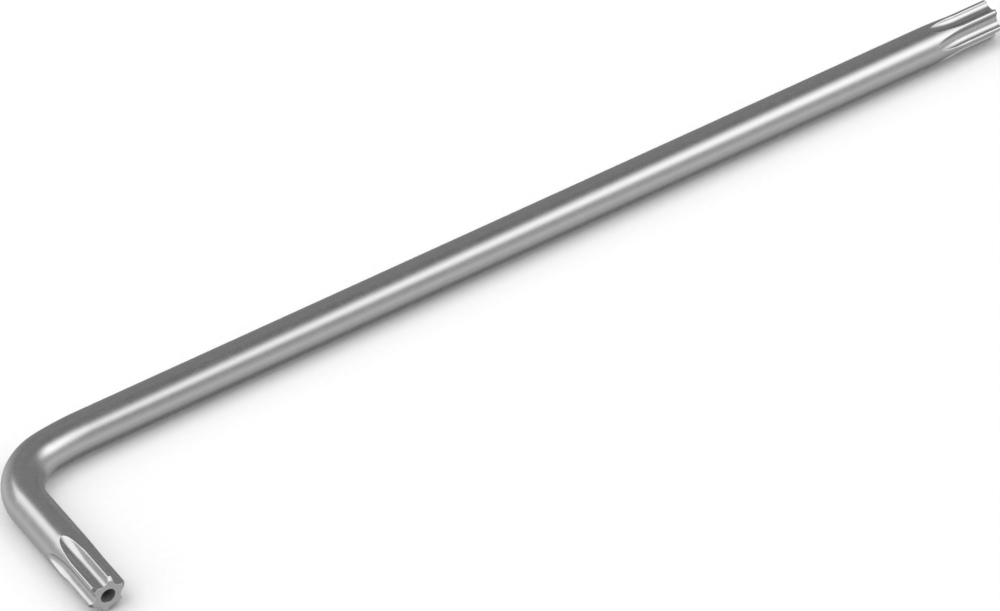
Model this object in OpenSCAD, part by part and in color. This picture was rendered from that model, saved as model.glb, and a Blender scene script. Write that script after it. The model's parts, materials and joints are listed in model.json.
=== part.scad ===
// Star key: one round bar bent to an L, with a six-lobed star drive on both ends.
// The bar lies flat on z = 0, its long arm along +X and its short arm along -Y.
// The origin is below the middle of the overall box. All sizes are in millimetres.

/* [Bar] */
// Diameter of the round bar
bar_d = 6.85; // [6.75:0.05:9]
// Overall length over the long arm
long_len = 194.9; // [120:0.1:300]
// Overall length over the short arm
short_len = 37.4; // [32:0.1:80]
// Radius of the bend, to the middle of the bar
bend_r = 9.65; // [8:0.05:16]
// Radius of the gentle lead-in between the long arm and the bend
lead_r = 48; // [30:1:80]
// Angle that the lead-in takes of the right angle
lead_turn = 9; // [4:1:15]

/* [Star drive] */
// Diameter over two opposite lobes
lobe_d = 6.65; // [6.55:0.05:6.7]
// Diameter across two opposite flutes
flute_d = 4.5; // [4.4:0.05:4.8]
// Radius of the rounding on a lobe
lobe_r = 0.45; // [0.4:0.05:0.6]
// Height of the rounding that the turned diameter leaves off each lobe
crest_trim = 0.03; // [0.02:0.01:0.05]
// Depth by which a flute bites into the rounding of the lobes beside it, leaving a fine edge
flute_bite = 0.01; // [0.01:0.01:0.03]
// Length of the flutes at full depth, end chamfer included
flute_len = 6.3; // [5:0.1:12]
// Radius along which the long tip's flutes run out to the bar's surface
long_runout_r = 20; // [10:0.5:24]
// Radius along which the short tip's flutes run out to the bar's surface
short_runout_r = 16; // [10:0.5:24]
// Distance by which the taper to the lobe diameter starts and ends inside the runouts
taper_inset = 0.6; // [0.4:0.1:1]
// Plain round length of a tip behind the runouts
shoulder_len = 1; // [0.5:0.1:3]
// Turn of the long tip's star from a flute straight up, anticlockwise facing its end
long_turn = 4; // [-30:1:30]
// Turn of the short tip's star from a flute straight up, anticlockwise facing its end
short_turn = 15; // [-30:1:30]

/* [End face] */
// Length and depth of the long tip's end chamfer
long_chamfer = 0.2; // [0.1:0.05:0.8]
// Length and depth of the short tip's end chamfer
short_chamfer = 0.6; // [0.1:0.05:0.8]

/* [Pin hole] */
// Diameter of the hole that clears a screw's security pin
pin_hole_d = 2.5; // [1.5:0.1:3]
// Depth of the hole to the start of its drill point
pin_hole_depth = 6; // [3:0.1:9]
// Included angle of the drill point
drill_point = 118; // [90:1:140]

/* [Hidden] */
$fn = 96;
plated_steel = [0.62, 0.62, 0.63];

// Star outline: lobe circles, and flute circles that bite into them
lobe_count = 6;
half_pitch = 180 / lobe_count;
bar_r = bar_d / 2;
flute_floor = flute_d / 2;
lobe_at = lobe_d / 2 + crest_trim - lobe_r;
lobe_x = lobe_at * cos(half_pitch);
lobe_y = lobe_at * sin(half_pitch);
touch_r = lobe_r - flute_bite;
flute_r = (pow(lobe_at, 2) + pow(flute_floor, 2) - 2 * lobe_x * flute_floor - pow(touch_r, 2))
        / (2 * (touch_r + lobe_x - flute_floor));
flute_at = flute_floor + flute_r;
// How far a cut reaches past the surface that it leaves
cut_over = 0.5;
cut_reach = bar_r + cut_over;
// Direction from a lobe's centre to the flute's centre
flute_turn = atan2(-lobe_y, flute_at - lobe_x);
// Direction and length of a cut's side, which stops an angle short of the lobe's crest
crest_gap = 10;
side_turn = half_pitch - crest_gap;
side_len = (cut_reach - lobe_x) / cos(side_turn);

// Flute runout: an arc about an axis outside the bar
function runout_axis(runout_r) = flute_floor + runout_r;
function runout_len(runout_r) = sqrt(pow(runout_r, 2) - pow(runout_axis(runout_r) - bar_r, 2));
function runout_turn(runout_r) = acos((runout_axis(runout_r) - cut_reach) / runout_r);

// Lengths along a tip, from its seam
function full_depth_at(runout_r) = shoulder_len + runout_len(runout_r);
function tip_len(runout_r) = full_depth_at(runout_r) + flute_len;

// Where the zones start
axis_y = short_len / 2 - bar_r;
corner_x = bar_r - long_len / 2;
long_arm_at = corner_x + bend_r + (lead_r - bend_r) * sin(lead_turn);
long_tip_at = long_len / 2 - tip_len(long_runout_r);
short_arm_at = axis_y - lead_r + (lead_r - bend_r) * cos(lead_turn);
short_tip_at = tip_len(short_runout_r) - short_len / 2;

// Point at a distance and angle from the centre of a lobe beside the flute that faces local X
function from_lobe(distance, angle, side) = [
    lobe_x + distance * cos(angle),
    side * (lobe_y + distance * sin(angle))
];

// Cross-section that one flute cut removes, facing local X
module flute_profile() {
    difference() {
        union() {
            translate([flute_at, 0])
                circle(flute_r);
            polygon([
                from_lobe(2 * lobe_r, flute_turn, 1),
                [lobe_x, lobe_y],
                from_lobe(side_len, side_turn, 1),
                from_lobe(side_len, side_turn, -1),
                [lobe_x, -lobe_y],
                from_lobe(2 * lobe_r, flute_turn, -1)
            ]);
        }
        for (side = [-1, 1])
            translate([lobe_x, side * lobe_y])
                circle(lobe_r);
    }
}

// One flute cut: full depth to the end face, then an arc out to the surface
module flute_cut(runout_r) {
    translate([0, 0, full_depth_at(runout_r)])
        linear_extrude(flute_len + cut_over)
            flute_profile();
    translate([runout_axis(runout_r), 0, full_depth_at(runout_r)])
        rotate([-90, 0, 180])
            rotate_extrude(angle = runout_turn(runout_r))
                translate([runout_axis(runout_r), 0])
                    mirror([1, 0])
                        flute_profile();
}

// Turned blank of a tip: bar diameter, taper to the lobe diameter, end chamfer
module tip_blank(runout_r, chamfer) {
    lobe_edge = lobe_d / 2;
    end_at = tip_len(runout_r);
    rotate_extrude()
        polygon([
            [0, 0],
            [bar_r, 0],
            [bar_r, shoulder_len + taper_inset],
            [lobe_edge, full_depth_at(runout_r) - taper_inset],
            [lobe_edge, end_at - chamfer],
            [lobe_edge - chamfer, end_at],
            [0, end_at]
        ]);
}

// Blind drilled hole in the end face of a tip
module pin_hole(end_at) {
    point_len = pin_hole_d / 2 / tan(drill_point / 2);
    translate([0, 0, end_at - pin_hole_depth]) {
        cylinder(d = pin_hole_d, h = pin_hole_depth + cut_over);
        translate([0, 0, -point_len])
            cylinder(d1 = 0, d2 = pin_hole_d, h = point_len);
    }
}

// Star tip along local Z, its seam at z = 0, with local Y as up
module star_tip(turn, runout_r, chamfer) {
    rotate(90 + turn)
        difference() {
            tip_blank(runout_r, chamfer);
            for (k = [0 : lobe_count - 1])
                rotate(2 * half_pitch * k)
                    flute_cut(runout_r);
            pin_hole(tip_len(runout_r));
        }
}

module long_star_tip() {
    color(plated_steel)
        translate([long_tip_at, axis_y, bar_r])
            rotate([90, 0, 90])
                star_tip(long_turn, long_runout_r, long_chamfer);
}

module long_arm() {
    color(plated_steel)
        translate([long_arm_at, axis_y, bar_r])
            rotate([90, 0, 90])
                cylinder(r = bar_r, h = long_tip_at - long_arm_at);
}

// Round bar along an arc about z, from one heading to another
module bar_arc(radius, from, to) {
    rotate(from)
        rotate_extrude(angle = to - from)
            translate([radius, 0])
                circle(bar_r);
}

module bend_lead_in() {
    color(plated_steel)
        translate([long_arm_at, axis_y - lead_r, bar_r])
            bar_arc(lead_r, 90, 90 + lead_turn);
}

module bend() {
    color(plated_steel)
        translate([corner_x + bend_r, short_arm_at, bar_r])
            bar_arc(bend_r, 90 + lead_turn, 180);
}

module short_arm() {
    color(plated_steel)
        translate([corner_x, short_arm_at, bar_r])
            rotate([90, 0, 0])
                cylinder(r = bar_r, h = short_arm_at - short_tip_at);
}

module short_star_tip() {
    color(plated_steel)
        translate([corner_x, short_tip_at, bar_r])
            rotate([90, 0, 0])
                star_tip(short_turn, short_runout_r, short_chamfer);
}

long_star_tip();
long_arm();
bend_lead_in();
bend();
short_arm();
short_star_tip();
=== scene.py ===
"""Star key on a pale floor: a plated steel bar bent to an L, with a six-lobed star drive on both ends.

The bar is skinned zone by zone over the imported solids. Sizes are in millimetres until a mesh is made.
"""
import json
import math

import bpy
import numpy as np
from mathutils import Matrix, Vector


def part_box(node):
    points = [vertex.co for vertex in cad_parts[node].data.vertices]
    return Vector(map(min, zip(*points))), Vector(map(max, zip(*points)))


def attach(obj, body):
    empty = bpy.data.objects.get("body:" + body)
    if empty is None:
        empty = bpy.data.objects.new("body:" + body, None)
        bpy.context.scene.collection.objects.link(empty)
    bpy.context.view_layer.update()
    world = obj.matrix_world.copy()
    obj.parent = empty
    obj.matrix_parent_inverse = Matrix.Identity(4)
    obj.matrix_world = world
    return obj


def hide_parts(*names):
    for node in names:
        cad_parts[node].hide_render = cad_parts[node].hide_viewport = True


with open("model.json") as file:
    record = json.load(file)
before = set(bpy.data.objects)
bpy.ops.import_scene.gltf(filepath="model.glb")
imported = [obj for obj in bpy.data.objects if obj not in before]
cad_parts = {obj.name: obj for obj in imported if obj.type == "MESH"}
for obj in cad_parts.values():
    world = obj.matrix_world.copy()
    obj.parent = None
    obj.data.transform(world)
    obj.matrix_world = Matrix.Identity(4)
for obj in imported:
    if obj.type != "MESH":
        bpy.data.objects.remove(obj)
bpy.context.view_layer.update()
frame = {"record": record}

MM = 0.001
BODY = "root"

# Star drive
LOBES = 6
LOBE_D = 6.65
FLUTE_D = 4.5
LOBE_R = 0.45
CREST_TRIM = 0.03
FLUTE_LEN = 6.3
TAPER_INSET = 0.6
DRILL_POINT = 118.0
LONG_TURN = 4.0
LONG_RUNOUT_R = 20.0
LONG_CHAMFER = 0.2
SHORT_TURN = 15.0
SHORT_RUNOUT_R = 16.0
SHORT_CHAMFER = 0.6

# Bends of the bar, to its middle
LEAD_R = 48.0
LEAD_TURN = 9.0
BEND_R = 9.65

# Roundings of edges, as half widths or radii
EDGE_ROUND = 0.14
TAPER_ROUND = 0.3
CHAMFER_ROUND = 0.1
FACE_ROUND = 0.08
RIM_ROUND = 0.07
# Most that the rounding of a flute's edge takes of the flute's side and of the land beside it
SIDE_ROUND_SHARE = 0.35
LAND_ROUND_SHARE = 0.7

# Numbers of mesh points and rings
BAR_COLUMNS = 144
BAR_STEP = 4.0
LEAD_RINGS = 24
BEND_RINGS = 97
CUT_POINTS = 15
EDGE_POINTS = 5
LAND_POINTS = 5
RUNOUT_RINGS = 52
RUNOUT_CROWDING = 1.8
BAND_RINGS = 7
ROUND_RINGS = 6
# Places of rings, as shares of the end face's width, the hole's depth and the drill point's height
FACE_RINGS = (0.3, 0.65)
WALL_RINGS = (0.04, 0.2, 0.6, 1.0)
POINT_RINGS = (0.95, 0.5, 0.1)
# Half angles, in radians, that a flute's columns take up at the seam and halfway to the flute
SEAM_EDGE = 0.2
SHOULDER_EDGE = 0.1

# Search for the surface of a cut: samples, halvings, how far it looks past the blank, and a metal value
ANGLE_SAMPLES = 1201
CURVE_SAMPLES = 1501
ANGLE_HALVINGS = 30
RADIUS_HALVINGS = 48
SEARCH_OVER = 0.02
SURE_METAL = -0.001

# Plate: noise scales per millimetre, and what the noises and shares do to tone and roughness
LINE_STRETCH = 0.06
LINE_SCALE = 7.0
MOTTLE_SCALE = 0.6
GRAIN_SCALE = 11.0
LINE_SPAN = (0.25, 0.75)
NOISE_SPAN = (0.3, 0.7)
PLATE_TONES = (0.485, 0.515)
GRAIN_TONES = (0.975, 1.025)
# Rounded edges: their lighter tone is a painted highlight, and their lower roughness further down is
# polish
EDGE_PAINTED_HIGHLIGHT = 0.05
# End faces: a lighter tone that is painted light, making up for the shadowed floor they mirror
FACE_PAINTED_LIGHT = 0.13
# The bore's darker tone is painted shade in the hole
BORE_PAINTED_SHADE = 0.6
PLATE_ROUGHNESS = (0.25, 0.3)
MOTTLE_ROUGHNESS = (-0.015, 0.015)
EDGE_POLISH = 0.06
BORE_ROUGHNESS = 0.2
BORE_METAL = 0.35
# Paper: noise scale per metre, tones, roughness and sheen
PAPER_SCALE = 900.0
PAPER_TONES = (0.81, 0.83)
PAPER_ROUGHNESS = 0.75
PAPER_SHEEN = 0.2
# Reliefs: shares of the grain and the lines in the plate's, heights in metres, and strength
GRAIN_RELIEF = 0.6
LINE_RELIEF = 0.4
PLATE_RELIEF = 0.00001
PAPER_RELIEF = 0.0001
RELIEF_STRENGTH = 0.1

# Camera, as turns in degrees and a distance from the point that it looks at
CAMERA_AIM = (-9.667, 2.209, 3.425)
CAMERA_DISTANCE = 877.28
CAMERA_AZIMUTH = -121.034
CAMERA_ELEVATION = 41.38
CAMERA_ROLL = -3.12
CAMERA_LENS = 198.0
CAMERA_SENSOR = 36.0

# Room: grey levels by height, at stops from straight down at 0 to straight up at 1
ROOM_LEVELS = (
    (0.0, 0.25), (0.06, 0.25), (0.13, 0.5), (0.165, 0.6), (0.235, 0.65), (0.39, 0.88),
    (0.5, 0.7), (0.63, 0.52), (0.74, 0.08), (0.82, 0.4), (1.0, 0.15),
)
# Dark sectors of the room: azimuth, elevation, the dot products between which they set in, and level
DARK_SECTORS = (
    (41.5, 0, 0.45, 0.82, 0.33),
    (-132, 20, 0.86, 0.96, 0.3),
)
# Soft patches of light: azimuth, elevation, turn of the long side from upright, half sizes as sines,
# feather and radiance
LIGHT_PATCHES = (
    (-39.7, 42.8, -5.0, 0.3, 0.34, 0.21, 2.3),
    (159.4, 49.3, 37.2, 0.49, 0.565, 0.086, 1.74),
)
# Overhead light that only matt surfaces see, and the floor, in metres
FILL_SIZE = 1.6
FILL_HEIGHT = 1.5
FILL_RADIANCE = 1.5
FLOOR_REACH = 8.0


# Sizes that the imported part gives
mounts = {mount["name"]: mount for mount in frame["record"]["mounts"]}
BAR_R = mounts["long_shank"]["dims"]["r_mm"]
HOLE_R = mounts["short_pin_hole"]["dims"]["r_mm"]
HOLE_DEPTH = mounts["short_pin_hole"]["dims"]["length_mm"]
LONG_END = np.array(mounts["long_star"]["pos_m"]) / MM
SHORT_END = np.array(mounts["short_star"]["pos_m"]) / MM
long_arm_low, long_arm_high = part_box("long_arm")
short_arm_low, short_arm_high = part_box("short_arm")
LONG_ARM_AT = long_arm_low.x / MM
LONG_TIP_AT = long_arm_high.x / MM
SHORT_ARM_AT = short_arm_high.y / MM
SHORT_TIP_AT = short_arm_low.y / MM
LONG_TIP_LEN = LONG_END[0] - LONG_TIP_AT
SHORT_TIP_LEN = SHORT_TIP_AT - SHORT_END[1]

# Star outline: lobe circles and flute circles that touch each other
HALF_PITCH = math.pi / LOBES
FLUTE_FLOOR = FLUTE_D / 2
LOBE_AT = LOBE_D / 2 + CREST_TRIM - LOBE_R
LOBE_C = LOBE_AT * np.array((math.cos(HALF_PITCH), math.sin(HALF_PITCH)))
FLUTE_R = ((LOBE_AT ** 2 + FLUTE_FLOOR ** 2 - 2 * LOBE_C[0] * FLUTE_FLOOR - LOBE_R ** 2)
           / (2 * (LOBE_R + LOBE_C[0] - FLUTE_FLOOR)))
FLUTE_C = np.array((FLUTE_FLOOR + FLUTE_R, 0.0))
# Direction from a lobe's centre past which nothing is cut
SIDE_TURN = math.radians(20)
POINT_SLOPE = math.tan(math.radians(DRILL_POINT / 2))

UP = np.array((0.0, 0.0, 1.0))
LEFT = np.array((-1.0, 0.0, 0.0))
BACK = np.array((0.0, 1.0, 0.0))


# Shapes that both tips share, with the flute cut facing local X

def corner(z, at, width):
    """A ramp that starts at a height and is rounded over a half width: its value and slope."""
    offset = z - at
    slope = min(max((offset + width) / (2 * width), 0.0), 1.0)
    if offset > width:
        return offset, slope
    return width * slope ** 2, slope


def ray(angle, radius):
    """Points at angles and radii round the axis."""
    return np.stack([radius * np.cos(angle), radius * np.sin(angle)], axis=-1)


def spun(values, turn):
    """Points or normals turned about local Z by an angle in radians."""
    cosine = math.cos(turn)
    sine = math.sin(turn)
    return values @ np.array(((cosine, sine, 0.0), (-sine, cosine, 0.0), (0.0, 0.0, 1.0)))


def cut_side(profile):
    """Above zero inside the cut, below zero in the metal, and zero on the star's outline."""
    from_lobe = profile - LOBE_C
    from_flute = profile - FLUTE_C
    along = FLUTE_C - LOBE_C
    crest_side = along[0] * from_lobe[..., 1] - along[1] * from_lobe[..., 0] > 0
    lobe = np.linalg.norm(from_lobe, axis=-1) - LOBE_R
    past_side = np.arctan2(from_lobe[..., 1], from_lobe[..., 0]) > SIDE_TURN
    lobe = np.where(past_side, np.minimum(lobe, SURE_METAL), lobe)
    flute = FLUTE_R - np.linalg.norm(from_flute, axis=-1)
    return np.where(crest_side, lobe, flute)


def turned_normal(angle, slope):
    """Normals of the turned blank at angles round the axis."""
    size = math.hypot(1.0, slope)
    return np.column_stack([ray(angle, 1.0) / size, np.full(len(angle), -slope / size)])


def spread(points, lengths):
    """Points at given distances along a fine polyline."""
    steps = np.linalg.norm(np.diff(points, axis=0), axis=1)
    at = np.concatenate([[0.0], np.cumsum(steps)])
    return np.stack([np.interp(lengths, at, points[:, i]) for i in range(2)], axis=-1)


def mirrored(values):
    """A half sector's values with their mirror image before them, without the last column."""
    image = values.copy()
    image[:, 1] *= -1
    return np.concatenate([image[::-1][:-1], values[:-1]])


def round_ring(angle, radius, z, tilt, edge, bore, face):
    """A ring of the end face or the hole, with normals that lean towards the axis by a tilt."""
    points = np.column_stack([ray(angle, radius), np.full(len(angle), z)])
    normals = np.column_stack([-math.sin(tilt) * ray(angle, 1.0), np.full(len(angle), math.cos(tilt))])
    shares = [np.full(len(angle), share) for share in (edge, bore, face)]
    return points, normals, *shares


class StarTip:
    """Rings of points for one star tip, along local Z from its seam with the bar to its end face."""

    def __init__(self, length, runout_r, chamfer):
        self.length = length
        self.chamfer = chamfer
        self.runout_axis = FLUTE_FLOOR + runout_r
        self.runout_len = math.sqrt(runout_r ** 2 - (self.runout_axis - BAR_R) ** 2)
        self.full_depth_at = length - FLUTE_LEN
        self.flute_start = self.full_depth_at - self.runout_len
        self.bottom = length - HOLE_DEPTH - HOLE_R / POINT_SLOPE

    def blank(self, z):
        """Radius of the turned blank at a height, and its slope."""
        taper_from = self.flute_start + TAPER_INSET
        taper_to = self.full_depth_at - TAPER_INSET
        taper = (BAR_R - LOBE_D / 2) / (taper_to - taper_from)
        bends = (
            (-taper, taper_from, TAPER_ROUND),
            (taper, taper_to, TAPER_ROUND),
            (-1.0, self.length - self.chamfer, CHAMFER_ROUND),
        )
        radius = BAR_R
        slope = 0.0
        for change, at, width in bends:
            value, rate = corner(z, at, width)
            radius += change * value
            slope += change * rate
        return radius, slope

    def unrolled(self, point, depth):
        """Where a point that lies a depth back in the runout was on the cutter's profile."""
        x = self.runout_axis - np.hypot(self.runout_axis - point[..., 0], depth)
        return np.stack([x, point[..., 1]], axis=-1)

    def cut_radius(self, angle, depth, limit):
        """Radius at which a ray from the axis meets the cut, up to a limit."""
        low = np.full(np.shape(angle), HOLE_R)
        high = np.full(np.shape(angle), limit)
        for _ in range(RADIUS_HALVINGS):
            middle = (low + high) / 2
            inside = cut_side(self.unrolled(ray(angle, middle), depth)) > 0
            high = np.where(inside, middle, high)
            low = np.where(inside, low, middle)
        return (low + high) / 2

    def cut_normal(self, point, depth):
        """Normals of the cut's surface at points, out of the metal."""
        profile = self.unrolled(point, depth)
        from_lobe = profile - LOBE_C
        to_flute = FLUTE_C - profile
        off_flute = np.abs(np.linalg.norm(to_flute, axis=-1) - FLUTE_R)
        off_lobe = np.abs(np.linalg.norm(from_lobe, axis=-1) - LOBE_R)
        flat = np.where((off_flute < off_lobe)[..., None], to_flute, from_lobe)
        flat = flat / np.linalg.norm(flat, axis=-1, keepdims=True)
        reach = np.hypot(self.runout_axis - point[..., 0], depth)
        lean_cos = (self.runout_axis - point[..., 0]) / reach
        lean_sin = depth / reach
        return np.stack([flat[..., 0] * lean_cos, flat[..., 1], flat[..., 0] * lean_sin], axis=-1)

    def edge_angle(self, depth, radius):
        """Angle from a flute's middle to its edge on the blank, or zero where there is no flute."""
        angles = np.linspace(0.0, HALF_PITCH, ANGLE_SAMPLES)
        limit = radius + SEARCH_OVER
        cut = self.cut_radius(angles, depth, limit) < radius
        if not cut[0]:
            return 0.0
        low = angles[np.argmin(cut) - 1]
        high = angles[np.argmin(cut)]
        for _ in range(ANGLE_HALVINGS):
            middle = (low + high) / 2
            if self.cut_radius(np.array([middle]), depth, limit)[0] < radius:
                low = middle
            else:
                high = middle
        return (low + high) / 2

    def half_sector(self, z, plain_edge):
        """One ring's points, normals and edge shares from the middle of a flute to the crest of a lobe.

        Where the flute has not begun, plain_edge is the angle that the columns of the flute take up.
        """
        radius, slope = self.blank(z)
        depth = max(0.0, self.full_depth_at - z)
        edge = self.edge_angle(depth, radius)
        cut = edge > 0
        edge = edge if cut else plain_edge
        fine = np.linspace(0.0, edge, CURVE_SAMPLES)
        rim = np.full_like(fine, radius)
        if cut:
            rim = self.cut_radius(fine, depth, radius + SEARCH_OVER)
        curve = ray(fine, np.minimum(rim, radius))
        length = np.linalg.norm(np.diff(curve, axis=0), axis=1).sum()
        land = (HALF_PITCH - edge) * radius
        rounding = min(EDGE_ROUND, SIDE_ROUND_SHARE * length, LAND_ROUND_SHARE * land)

        side = spread(curve, np.linspace(0.0, length - rounding, CUT_POINTS))
        side_angle = np.arctan2(side[:, 1], side[:, 0])
        side_normal = self.cut_normal(side, depth) if cut else turned_normal(side_angle, slope)
        land_angle = np.linspace(edge + rounding / radius, HALF_PITCH, LAND_POINTS)
        land_point = ray(land_angle, radius)
        land_normal = turned_normal(land_angle, slope)

        t = np.linspace(0.0, 1.0, EDGE_POINTS + 2)[1:-1, None]
        apex = ray(edge, radius)
        edge_point = (1 - t) ** 2 * side[-1] + 2 * t * (1 - t) * apex + t ** 2 * land_point[0]
        edge_normal = (1 - t) * side_normal[-1] + t * land_normal[0]
        edge_normal = edge_normal / np.linalg.norm(edge_normal, axis=-1, keepdims=True)
        if not cut:
            plain_angle = np.arctan2(edge_point[:, 1], edge_point[:, 0])
            edge_point = ray(plain_angle, radius)
            edge_normal = turned_normal(plain_angle, slope)

        points = np.concatenate([side, edge_point, land_point])
        normals = np.concatenate([side_normal, edge_normal, land_normal])
        share = np.zeros(len(points))
        share[CUT_POINTS:CUT_POINTS + EDGE_POINTS] = float(cut)
        return points, normals, share

    def full_ring(self, z, plain_edge):
        """A whole ring of the star: points, normals, and shares of edge, bore and end face."""
        points, normals, share = self.half_sector(z, plain_edge)
        points = np.column_stack([points, np.full(len(points), z)])
        sector_points = mirrored(points)
        sector_normals = mirrored(normals)
        sector_share = np.concatenate([share[::-1][:-1], share[:-1]])
        turns = [2 * HALF_PITCH * k for k in range(LOBES)]
        ring_points = np.concatenate([spun(sector_points, turn) for turn in turns])
        ring_normals = np.concatenate([spun(sector_normals, turn) for turn in turns])
        none = np.zeros(len(ring_points))
        return ring_points, ring_normals, np.tile(sector_share, LOBES), none, none

    def rings(self):
        """All rings, from the seam over the end face to the bottom of the pin hole."""
        steps = np.linspace(0.0, 1.0, RUNOUT_RINGS)[1:]
        runout = self.flute_start + self.runout_len * steps ** RUNOUT_CROWDING
        first_edge = self.edge_angle(self.full_depth_at - runout[0], self.blank(runout[0])[0])
        chamfer_from = self.length - self.chamfer - CHAMFER_ROUND
        chamfer_to = self.length - self.chamfer + CHAMFER_ROUND
        heights = np.concatenate([
            runout,
            np.linspace(self.full_depth_at, chamfer_from, BAND_RINGS)[1:],
            np.linspace(chamfer_from, chamfer_to, BAND_RINGS)[1:],
            np.linspace(chamfer_to, self.length - FACE_ROUND, BAND_RINGS)[1:],
        ])
        rings = [
            self.full_ring(0.0, SEAM_EDGE),
            self.full_ring(self.flute_start / 2, SHOULDER_EDGE),
            self.full_ring(self.flute_start, first_edge),
        ]
        rings += [self.full_ring(z, first_edge) for z in heights]

        # Rounded edge of the end face
        edge_points, edge_normals, _, none, _ = rings[-1]
        flat = edge_normals[:, :2] / np.linalg.norm(edge_normals[:, :2], axis=1, keepdims=True)
        for turn in np.linspace(0.0, math.pi / 2, ROUND_RINGS)[1:]:
            points = edge_points.copy()
            points[:, :2] -= FACE_ROUND * (1 - math.cos(turn)) * flat
            points[:, 2] = self.length - FACE_ROUND * (1 - math.sin(turn))
            normals = math.cos(turn) * edge_normals + math.sin(turn) * UP
            normals /= np.linalg.norm(normals, axis=1, keepdims=True)
            edge = none + math.sin(2 * turn)
            face = none + math.sin(turn) ** 4
            rings.append((points, normals, edge, none, face))

        # Flat end face, then the hole's rounded rim, wall and drill point
        outline = rings[-1][0]
        angle = np.arctan2(outline[:, 1], outline[:, 0])
        reach = np.hypot(outline[:, 0], outline[:, 1])
        for part in FACE_RINGS:
            radius = reach + part * (HOLE_R + RIM_ROUND - reach)
            rings.append(round_ring(angle, radius, self.length, 0.0, 0.0, 0.0, 1.0))
        for tilt in np.linspace(0.0, math.pi / 2, ROUND_RINGS):
            radius = HOLE_R + RIM_ROUND * (1 - math.sin(tilt))
            z = self.length - RIM_ROUND * (1 - math.cos(tilt))
            edge = math.sin(2 * tilt)
            face = math.cos(tilt) ** 4
            rings.append(round_ring(angle, radius, z, tilt, edge, 0.0, face))
        for part in WALL_RINGS:
            z = self.length - RIM_ROUND - part * (HOLE_DEPTH - RIM_ROUND)
            rings.append(round_ring(angle, HOLE_R, z, math.pi / 2, 0.0, 1.0, 0.0))
        point_lean = math.radians(90 - DRILL_POINT / 2)
        for part in POINT_RINGS:
            z = self.bottom + part * HOLE_R / POINT_SLOPE
            rings.append(round_ring(angle, part * HOLE_R, z, point_lean, 0.0, 1.0, 0.0))
        return rings


# Meshes

def make_mesh(name, points, normals, bar, shares, caps):
    """A closed piece from rings of points: quads between the rings, and a fan at each end.

    points, normals and bar are arrays of rings by columns by 3, in millimetres. caps gives each end's
    middle point, its normal, its place on the bar and whether the end is flat.
    """
    rings, columns = points.shape[:2]
    flat_normals = normals.reshape(-1, 3)
    vertices = list(points.reshape(-1, 3))
    index = np.arange(rings * columns).reshape(rings, columns)
    after = np.roll(index, -1, axis=1)
    faces = np.stack([index[:-1], after[:-1], after[1:], index[1:]], axis=-1).reshape(-1, 4).tolist()
    corner_normals = list(flat_normals[np.array(faces).ravel()])
    bar_values = list(bar.reshape(-1, 3))
    share_values = {key: list(values.ravel()) for key, values in shares.items()}
    for end, (middle, normal, bar_middle, flat) in zip((0, -1), caps):
        hub = len(vertices)
        vertices.append(middle)
        bar_values.append(bar_middle)
        for values in share_values.values():
            values.append(values[int(index[end, 0])])
        for a, b in zip(index[end].tolist(), after[end].tolist()):
            pair = (b, a) if end == 0 else (a, b)
            faces.append([*pair, hub])
            if flat:
                corner_normals += [normal] * 3
            else:
                corner_normals += [flat_normals[pair[0]], flat_normals[pair[1]], normal]

    mesh = bpy.data.meshes.new(name)
    mesh.from_pydata((np.array(vertices) * MM).tolist(), [], faces)
    mesh.polygons.foreach_set("use_smooth", [True] * len(faces))
    attribute = mesh.attributes.new("bar", "FLOAT_VECTOR", "POINT")
    attribute.data.foreach_set("vector", np.array(bar_values, np.float32).ravel())
    for key, values in share_values.items():
        attribute = mesh.attributes.new(key, "FLOAT", "POINT")
        attribute.data.foreach_set("value", np.array(values, np.float32))
    mesh.validate()
    mesh.normals_split_custom_set(np.array(corner_normals, np.float32).tolist())
    piece = bpy.data.objects.new(name, mesh)
    bpy.context.scene.collection.objects.link(piece)
    return piece


def dress(piece, node, material):
    """Lets a piece stand for a solid, in the bar's finish."""
    piece.data.materials.append(material)
    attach(piece, BODY)
    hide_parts(node)


def bar_piece(name, centres, outers, lengths):
    """A plain round stretch of the bar through centres.

    outers and lengths give the direction to the bend's outer side and the length along the bar at each.
    """
    turns = np.linspace(0.0, 2 * math.pi, BAR_COLUMNS, endpoint=False)
    around = np.cos(turns)[None, :, None] * outers[:, None, :] + np.sin(turns)[None, :, None] * UP
    points = centres[:, None, :] + BAR_R * around
    bar = np.concatenate([
        np.broadcast_to(lengths[:, None, None], (len(centres), BAR_COLUMNS, 1)),
        np.broadcast_to(ray(turns, BAR_R), (len(centres), BAR_COLUMNS, 2)),
    ], axis=-1)
    heading = np.cross(outers, UP)
    caps = (
        (centres[0], -heading[0], (lengths[0], 0.0, 0.0), True),
        (centres[-1], heading[-1], (lengths[-1], 0.0, 0.0), True),
    )
    return make_mesh(name, points, around, bar, {}, caps)


def straight(name, start, end, outer, length_at):
    """A straight stretch of the bar between two points."""
    reach = np.linalg.norm(end - start)
    rings = max(2, round(reach / BAR_STEP) + 1)
    part = np.linspace(0.0, 1.0, rings)
    centres = start + part[:, None] * (end - start)
    return bar_piece(name, centres, np.tile(outer, (rings, 1)), length_at + part * reach)


def arc(name, middle, radius, from_turn, to_turn, rings, length_at):
    """A bent stretch of the bar about a middle point, between two headings in degrees."""
    turns = np.radians(np.linspace(from_turn, to_turn, rings))
    outers = np.column_stack([ray(turns, 1.0), np.zeros(rings)])
    lengths = length_at + radius * np.abs(turns - turns[0])
    return bar_piece(name, middle + radius * outers, outers, lengths)


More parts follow.
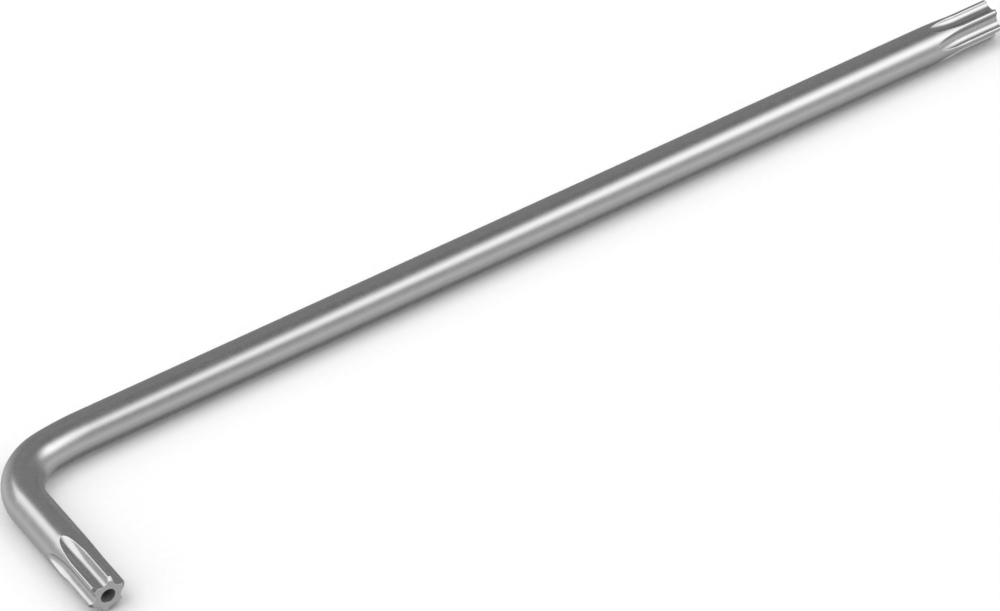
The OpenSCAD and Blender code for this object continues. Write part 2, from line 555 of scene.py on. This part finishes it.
def tip(name, shape, seam, side, outward, turn, length_at, toward):
    """A star tip from its seam, with side as its local X.

    toward is 1 where the length along the bar grows outward, and -1 where it shrinks.
    """
    rings = shape.rings()
    spin = math.radians(90 + turn)
    axes = np.stack([side, UP, outward])
    local = spun(np.stack([ring[0] for ring in rings]), spin)
    normals = spun(np.stack([ring[1] for ring in rings]), spin) @ axes
    bar = np.stack([length_at + toward * local[..., 2], toward * local[..., 0], local[..., 1]], axis=-1)
    shares = {
        key: np.stack([ring[at] for ring in rings])
        for at, key in enumerate(("edge", "bore", "face"), start=2)
    }
    caps = (
        (seam, -outward, (length_at, 0.0, 0.0), True),
        (seam + shape.bottom * outward, outward, (length_at + toward * shape.bottom, 0.0, 0.0), False),
    )
    return make_mesh(name, seam + local @ axes, normals, bar, shares, caps)


# Materials

class Nodes:
    """Short calls that add shader nodes and links to one tree."""

    def __init__(self, tree):
        self.tree = tree
        tree.nodes.clear()

    def connect(self, socket, value):
        """Links another node's output to a socket, or sets the socket to a constant."""
        if isinstance(value, bpy.types.NodeSocket):
            self.tree.links.new(value, socket)
        else:
            socket.default_value = value

    def add(self, kind, settings=(), **inputs):
        """A node with its settings and inputs. An underscore in an input's name stands for a space."""
        node = self.tree.nodes.new(kind)
        for key, value in dict(settings).items():
            setattr(node, key, value)
        for key, value in inputs.items():
            self.connect(node.inputs[key.replace("_", " ")], value)
        return node

    def attribute(self, name, output):
        return self.add("ShaderNodeAttribute", {"attribute_name": name}).outputs[output]

    def noise(self, vector, scale, detail=2.0, roughness=0.5):
        node = self.add("ShaderNodeTexNoise", Vector=vector, Scale=scale, Detail=detail,
                        Roughness=roughness)
        return node.outputs["Fac"]

    def remap(self, value, low, high, to_low, to_high, kind="LINEAR"):
        node = self.add("ShaderNodeMapRange", {"interpolation_type": kind}, Value=value, From_Min=low,
                        From_Max=high, To_Min=to_low, To_Max=to_high)
        return node.outputs["Result"]

    def math(self, operation, a, b):
        node = self.add("ShaderNodeMath", {"operation": operation})
        self.connect(node.inputs[0], a)
        self.connect(node.inputs[1], b)
        return node.outputs["Value"]

    def dot(self, vector, axis):
        node = self.add("ShaderNodeVectorMath", {"operation": "DOT_PRODUCT"}, Vector=vector)
        node.inputs[1].default_value = axis
        return node.outputs["Value"]

    def ramp(self, value, stops):
        """Grey levels at stops from 0 to 1, joined by straight lines."""
        node = self.add("ShaderNodeValToRGB", Fac=value)
        elements = node.color_ramp.elements
        while len(elements) < len(stops):
            elements.new(0.5)
        for element, (at, level) in zip(elements, stops):
            element.position = at
            element.color = (level, level, level, 1.0)
        return node.outputs["Color"]

    def blend(self, share, base, top):
        """A base level, and a top level where the share is one."""
        step = self.math("MULTIPLY", share, self.math("SUBTRACT", top, base))
        return self.math("ADD", base, step)

    def grey(self, level):
        node = self.add("ShaderNodeCombineColor", Red=level, Green=level, Blue=level)
        return node.outputs["Color"]


def plated_steel():
    """Satin nickel plate: grain, faint drawing lines, polished edges with a painted highlight, end
    faces with painted light, and a rougher, less metallic bore with painted shade.
    """
    material = bpy.data.materials.new("plated_steel")
    material.use_nodes = True
    nodes = Nodes(material.node_tree)
    bar = nodes.attribute("bar", "Vector")
    edge = nodes.attribute("edge", "Fac")
    bore = nodes.attribute("bore", "Fac")
    face = nodes.attribute("face", "Fac")
    drawn = nodes.add("ShaderNodeVectorMath", {"operation": "MULTIPLY"}, Vector=bar)
    drawn.inputs[1].default_value = (LINE_STRETCH, 1.0, 1.0)
    lines = nodes.noise(drawn.outputs["Vector"], LINE_SCALE, detail=3.0, roughness=0.6)
    mottle = nodes.noise(bar, MOTTLE_SCALE, detail=3.0)
    grain = nodes.noise(bar, GRAIN_SCALE, roughness=0.6)

    tone = nodes.remap(mottle, *NOISE_SPAN, *PLATE_TONES)
    tone = nodes.math("MULTIPLY", tone, nodes.remap(grain, *NOISE_SPAN, *GRAIN_TONES))
    # Painted highlight: rounded edges are made lighter in tone
    tone = nodes.math("ADD", tone, nodes.math("MULTIPLY", edge, EDGE_PAINTED_HIGHLIGHT))
    # Painted light: end faces are made lighter in tone
    tone = nodes.math("ADD", tone, nodes.math("MULTIPLY", face, FACE_PAINTED_LIGHT))
    # Painted shade: the bore is made darker in tone
    tone = nodes.math("MULTIPLY", tone, nodes.remap(bore, 0.0, 1.0, 1.0, BORE_PAINTED_SHADE))

    rough = nodes.remap(lines, *LINE_SPAN, *PLATE_ROUGHNESS)
    rough = nodes.math("ADD", rough, nodes.remap(mottle, *NOISE_SPAN, *MOTTLE_ROUGHNESS))
    rough = nodes.math("SUBTRACT", rough, nodes.math("MULTIPLY", edge, EDGE_POLISH))
    rough = nodes.math("ADD", rough, nodes.math("MULTIPLY", bore, BORE_ROUGHNESS))

    height = nodes.math("MULTIPLY", grain, GRAIN_RELIEF)
    height = nodes.math("ADD", height, nodes.math("MULTIPLY", lines, LINE_RELIEF))
    bump = nodes.add("ShaderNodeBump", Strength=RELIEF_STRENGTH, Distance=PLATE_RELIEF, Height=height)
    metal = nodes.remap(bore, 0.0, 1.0, 1.0, BORE_METAL)
    shader = nodes.add("ShaderNodeBsdfPrincipled", Base_Color=nodes.grey(tone), Metallic=metal,
                       Roughness=rough, Normal=bump.outputs["Normal"])
    nodes.add("ShaderNodeOutputMaterial", Surface=shader.outputs["BSDF"])
    return material


def floor_paper():
    """Matt white paper with a faint tooth."""
    material = bpy.data.materials.new("floor_paper")
    material.use_nodes = True
    nodes = Nodes(material.node_tree)
    place = nodes.add("ShaderNodeTexCoord").outputs["Object"]
    tooth = nodes.noise(place, PAPER_SCALE, detail=3.0)
    tone = nodes.remap(tooth, *NOISE_SPAN, *PAPER_TONES)
    bump = nodes.add("ShaderNodeBump", Strength=RELIEF_STRENGTH, Distance=PAPER_RELIEF, Height=tooth)
    shader = nodes.add("ShaderNodeBsdfPrincipled", Base_Color=nodes.grey(tone),
                       Roughness=PAPER_ROUGHNESS, Specular_IOR_Level=PAPER_SHEEN,
                       Normal=bump.outputs["Normal"])
    nodes.add("ShaderNodeOutputMaterial", Surface=shader.outputs["BSDF"])
    return material


# Studio

def direction(azimuth, elevation):
    """Unit vector for an azimuth from +X towards +Y, and an elevation, in degrees."""
    a = math.radians(azimuth)
    e = math.radians(elevation)
    return Vector((math.cos(a) * math.cos(e), math.sin(a) * math.cos(e), math.sin(e)))


def soft_patch(nodes, toward, azimuth, elevation, turn, half_long, half_wide, feather):
    """Share of a soft rectangle of light in the room, which turns away from upright by an angle."""
    middle = direction(azimuth, elevation)
    upright = (Vector(UP) - middle.z * middle).normalized()
    spin = math.radians(turn)
    long_axis = math.cos(spin) * upright + math.sin(spin) * upright.cross(middle)
    share = nodes.math("GREATER_THAN", nodes.dot(toward, middle), 0.0)
    for axis, half in ((long_axis, half_long), (middle.cross(long_axis), half_wide)):
        offset = nodes.math("ABSOLUTE", nodes.dot(toward, axis), 0.0)
        inside = nodes.remap(offset, half - feather, half + feather, 1.0, 0.0, "SMOOTHSTEP")
        share = nodes.math("MULTIPLY", share, inside)
    return share


def room():
    """Grey room with two darker sectors and two soft patches of light."""
    world = bpy.data.worlds.new("room")
    world.use_nodes = True
    nodes = Nodes(world.node_tree)
    toward = nodes.add("ShaderNodeTexCoord").outputs["Generated"]
    height = nodes.add("ShaderNodeSeparateXYZ", Vector=toward).outputs["Z"]
    level = nodes.ramp(nodes.remap(height, -1.0, 1.0, 0.0, 1.0), ROOM_LEVELS)
    for azimuth, elevation, from_dot, to_dot, dark in DARK_SECTORS:
        nearness = nodes.dot(toward, direction(azimuth, elevation))
        share = nodes.remap(nearness, from_dot, to_dot, 0.0, 1.0, "SMOOTHSTEP")
        level = nodes.blend(share, level, dark)
    for *shape, radiance in LIGHT_PATCHES:
        level = nodes.blend(soft_patch(nodes, toward, *shape), level, radiance)
    background = nodes.add("ShaderNodeBackground", Color=nodes.grey(level), Strength=1.0)
    nodes.add("ShaderNodeOutputWorld", Surface=background.outputs["Background"])
    bpy.context.scene.world = world


def overhead_fill():
    """A square light over the floor, which lightens the shadows and does not show in the steel."""
    data = bpy.data.lights.new("overhead_fill", "AREA")
    data.size = FILL_SIZE
    data.energy = FILL_RADIANCE * math.pi * FILL_SIZE ** 2
    light = bpy.data.objects.new("overhead_fill", data)
    light.location = (0.0, 0.0, FILL_HEIGHT)
    light.visible_camera = False
    light.visible_glossy = False
    bpy.context.scene.collection.objects.link(light)


def floor():
    """Pale floor, which the steel does not mirror."""
    mesh = bpy.data.meshes.new("floor")
    reach = FLOOR_REACH
    mesh.from_pydata([(-reach, -reach, 0), (reach, -reach, 0), (reach, reach, 0), (-reach, reach, 0)],
                     [], [(0, 1, 2, 3)])
    mesh.materials.append(floor_paper())
    plane = bpy.data.objects.new("floor", mesh)
    plane.visible_glossy = False
    bpy.context.scene.collection.objects.link(plane)


def camera():
    """Camera at the photograph's viewing angle."""
    data = bpy.data.cameras.new("camera")
    data.lens = CAMERA_LENS
    data.sensor_width = CAMERA_SENSOR
    view = bpy.data.objects.new("camera", data)
    back = direction(CAMERA_AZIMUTH, CAMERA_ELEVATION)
    roll = Matrix.Rotation(math.radians(CAMERA_ROLL), 3, "Z")
    turn = (-back).to_track_quat("-Z", "Y").to_matrix() @ roll
    place = Vector(CAMERA_AIM) + CAMERA_DISTANCE * back
    view.matrix_world = Matrix.LocRotScale(place * MM, turn, None)
    bpy.context.scene.collection.objects.link(view)
    bpy.context.scene.camera = view


def key():
    """The key, from its short end to its long end."""
    steel = plated_steel()
    corner_x, _, axis_z = SHORT_END
    axis_y = LONG_END[1]

    seam = np.array((corner_x, SHORT_TIP_AT, axis_z))
    length = SHORT_TIP_LEN
    star = StarTip(SHORT_TIP_LEN, SHORT_RUNOUT_R, SHORT_CHAMFER)
    piece = tip("star_tip_short", star, seam, -LEFT, -BACK, SHORT_TURN, length, -1)
    dress(piece, "short_star_tip", steel)

    arm_end = np.array((corner_x, SHORT_ARM_AT, axis_z))
    piece = straight("arm_short", seam, arm_end, LEFT, length)
    dress(piece, "short_arm", steel)
    length += SHORT_ARM_AT - SHORT_TIP_AT

    middle = np.array((corner_x + BEND_R, SHORT_ARM_AT, axis_z))
    piece = arc("bend_tight", middle, BEND_R, 180, 90 + LEAD_TURN, BEND_RINGS, length)
    dress(piece, "bend", steel)
    length += BEND_R * math.radians(90 - LEAD_TURN)

    middle = np.array((LONG_ARM_AT, axis_y - LEAD_R, axis_z))
    piece = arc("bend_gentle", middle, LEAD_R, 90 + LEAD_TURN, 90, LEAD_RINGS, length)
    dress(piece, "bend_lead_in", steel)
    length += LEAD_R * math.radians(LEAD_TURN)

    arm_start = np.array((LONG_ARM_AT, axis_y, axis_z))
    seam = np.array((LONG_TIP_AT, axis_y, axis_z))
    piece = straight("arm_long", arm_start, seam, BACK, length)
    dress(piece, "long_arm", steel)
    length += LONG_TIP_AT - LONG_ARM_AT

    star = StarTip(LONG_TIP_LEN, LONG_RUNOUT_R, LONG_CHAMFER)
    piece = tip("star_tip_long", star, seam, BACK, -LEFT, LONG_TURN, length, 1)
    dress(piece, "long_star_tip", steel)


bpy.context.scene.view_settings.view_transform = "Standard"
camera()
room()
overhead_fill()
floor()
key()
